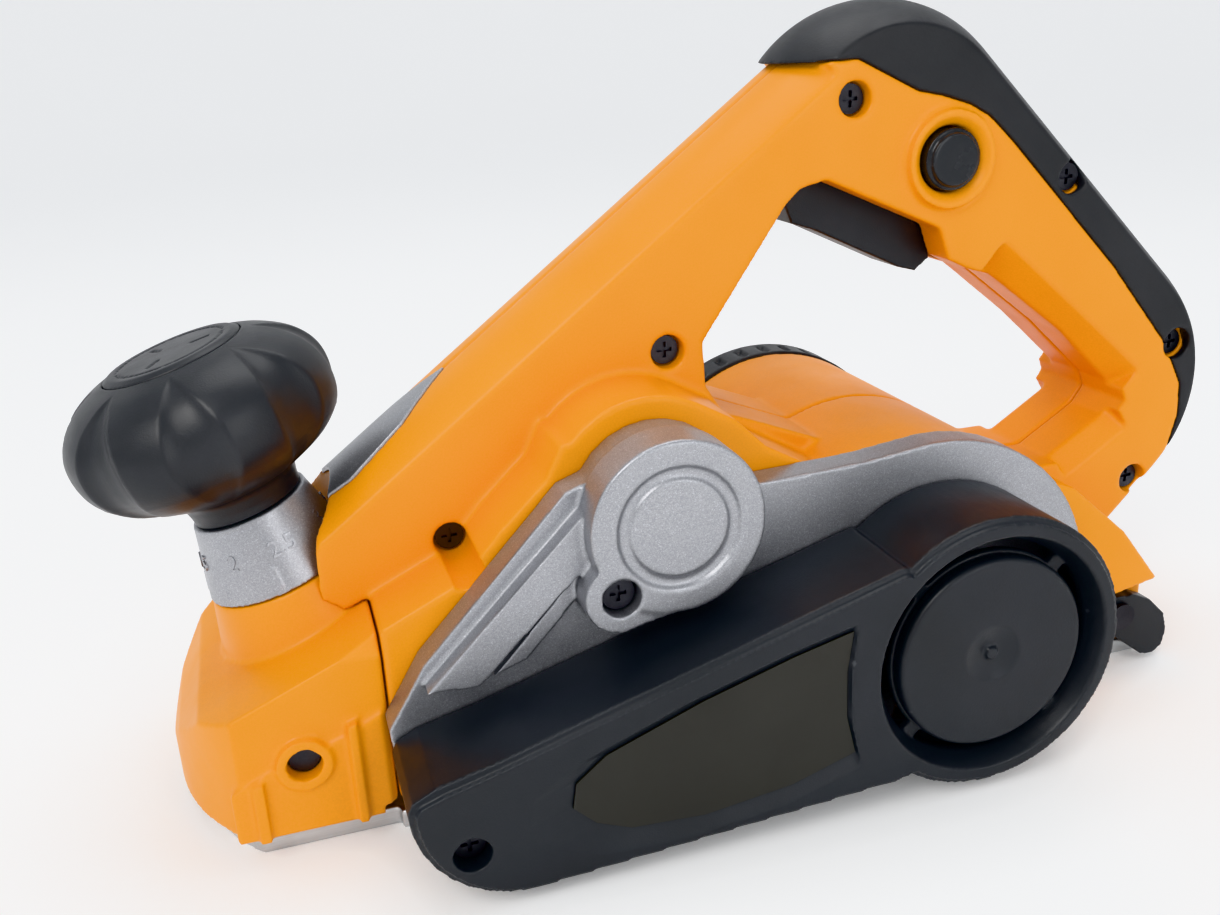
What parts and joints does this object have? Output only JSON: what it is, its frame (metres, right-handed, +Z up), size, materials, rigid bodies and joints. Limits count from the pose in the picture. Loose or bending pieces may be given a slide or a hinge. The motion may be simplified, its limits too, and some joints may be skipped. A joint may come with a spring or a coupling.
{
  "type": "electric hand planer",
  "caption": "Electric hand planer with a fluted depth knob, loop handle with trigger, silver side frame and black belt cover.",
  "frame": {"origin": "on the plane of the soles, on the middle plane of the soles, between the knob and the tail", "axes": "+X towards the rear grip, -X towards the depth knob, +Z up out of the soles, -Y towards the belt cover"},
  "size_m": [0.3223, 0.146, 0.1886],
  "materials": {
    "black_plastic": "satin",
    "brass": "satin",
    "carbon": "matt",
    "cast_aluminium": "satin",
    "copper": "satin",
    "core_steel": "matt",
    "dark_plate": "satin",
    "gloss_black": "gloss",
    "rubber_black": "matt",
    "silver_paint": "metallic flake",
    "soft_grip": "matt",
    "steel": "satin",
    "yellow_plastic": "satin"
  },
  "bodies": {
    "housing": {"left_shell": "yellow_plastic", "right_shell": "yellow_plastic", "grip_cover": "soft_grip", "front_housing": "yellow_plastic", "rear_shoe": "cast_aluminium", "detent_washer": "steel", "frame_casting": "silver_paint", "belt_cover": "black_plastic", "cover_disc": "black_plastic", "label_plate": "dark_plate", "cover_screws": "steel", "drive_belt": "rubber_black", "drum_bearings": "steel", "motor_bearings": "steel", "stator_core": "core_steel", "field_coils": "copper", "brush_holders": "brass", "carbon_brushes": "carbon", "brush_caps": "black_plastic", "motor_end_cap": "black_plastic", "end_cap_screws": "steel", "switch_body": "black_plastic", "handle_inlay": "silver_paint", "handle_screws": "steel", "cord_gland": "rubber_black", "foot_pin": "steel", "chip_spout": "black_plastic", "drum_end_cap": "black_plastic", "shoe_screws": "steel", "housing_screw": "steel"},
    "depth_adjuster": {"depth_knob": "black_plastic", "knob_cap": "black_plastic", "depth_ring": "silver_paint", "depth_spindle": "steel"},
    "front_sole": {"front_shoe": "cast_aluminium"},
    "cutter": {"cutter_drum": "cast_aluminium", "blades": "steel", "blade_clamps": "steel", "blade_screws": "steel", "drum_shaft": "steel", "drum_pulley": "cast_aluminium", "drum_pulley_nut": "steel"},
    "rotor": {"armature_shaft": "steel", "armature_core": "core_steel", "armature_windings": "copper", "commutator": "copper", "fan": "black_plastic", "motor_pulley": "steel", "motor_pulley_nut": "steel"},
    "trigger": {"trigger": "black_plastic"},
    "lock_button": {"lock_button": "gloss_black"},
    "park_foot": {"rear_foot": "black_plastic"}
  },
  "joints": [
    {"name": "knob_turn", "type": "hinge", "parent": "housing", "child": "depth_adjuster", "pos_m": [-0.111, 0, 0.0755], "axis": [0.2924, 0, -0.9563], "range_deg": [0, 315]},
    {"name": "front_sole_lift", "type": "slide", "parent": "housing", "child": "front_sole", "axis": [-0.2924, 0, 0.9563], "range_m": [0, 0.0035]},
    {"name": "rotor_spin", "type": "hinge", "parent": "housing", "child": "rotor", "pos_m": [0.055, 0, 0.038], "axis": [0, 1, 0], "continuous": true},
    {"name": "cutter_spin", "type": "hinge", "parent": "housing", "child": "cutter", "pos_m": [-0.052, 0, 0.0246], "axis": [0, 1, 0], "continuous": true},
    {"name": "trigger_pull", "type": "slide", "parent": "housing", "child": "trigger", "axis": [0.4226, 0, 0.9063], "range_m": [0, 0.004], "stiffness_N_per_m": 800, "springref_m": -0.002},
    {"name": "lock_press", "type": "slide", "parent": "housing", "child": "lock_button", "axis": [0, 1, 0], "range_m": [0, 0.003], "stiffness_N_per_m": 600, "springref_m": -0.001},
    {"name": "foot_swing", "type": "hinge", "parent": "housing", "child": "park_foot", "pos_m": [0.124, 0, 0.017], "axis": [0, 1, 0], "range_deg": [0, 35]}
  ],
  "couplings": [
    {"joint": "front_sole_lift", "follows": "knob_turn", "m_per_rad": 0.000636},
    {"joint": "cutter_spin", "follows": "rotor_spin", "ratio": 0.85714}
  ]
}
